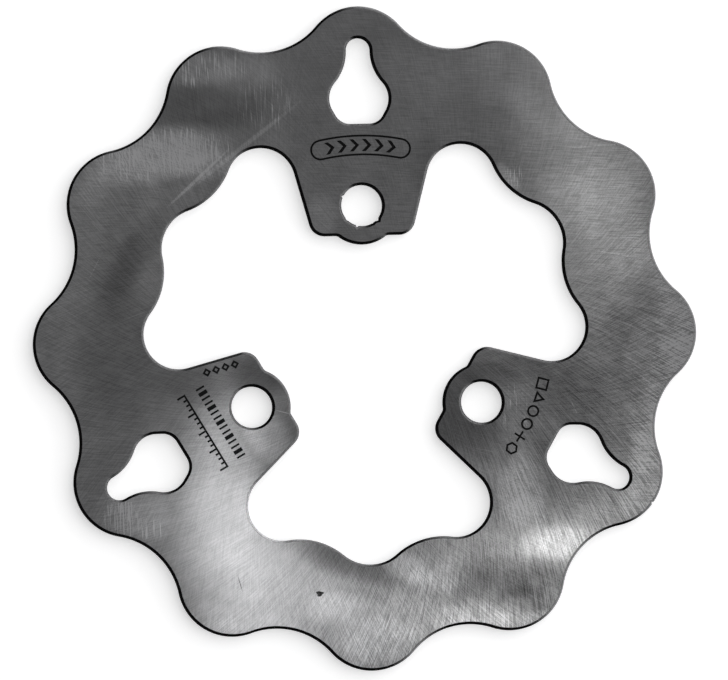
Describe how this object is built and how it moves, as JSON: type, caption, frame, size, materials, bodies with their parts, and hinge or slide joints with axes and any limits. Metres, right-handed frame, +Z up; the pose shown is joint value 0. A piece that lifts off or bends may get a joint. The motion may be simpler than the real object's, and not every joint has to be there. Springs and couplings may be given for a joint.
{
  "type": "brake disc",
  "caption": "Flat one-piece brake disc of ground steel with a wavy rim, keyhole slots and inward lugs drilled for the hub bolts.",
  "frame": {"origin": "wheel centre, half way through the plate's thickness", "axes": "+Y along the wheel's axis, out of the unmarked face that sits on the hub; +Z up through one lug; the marked face looks towards -Y"},
  "size_m": [0.185, 0.0036, 0.185],
  "materials": {
    "ground_steel": "ground faces, dark cut edges"
  },
  "bodies": {
    "root": {"brake_disc": "ground_steel"}
  },
  "joints": []
}
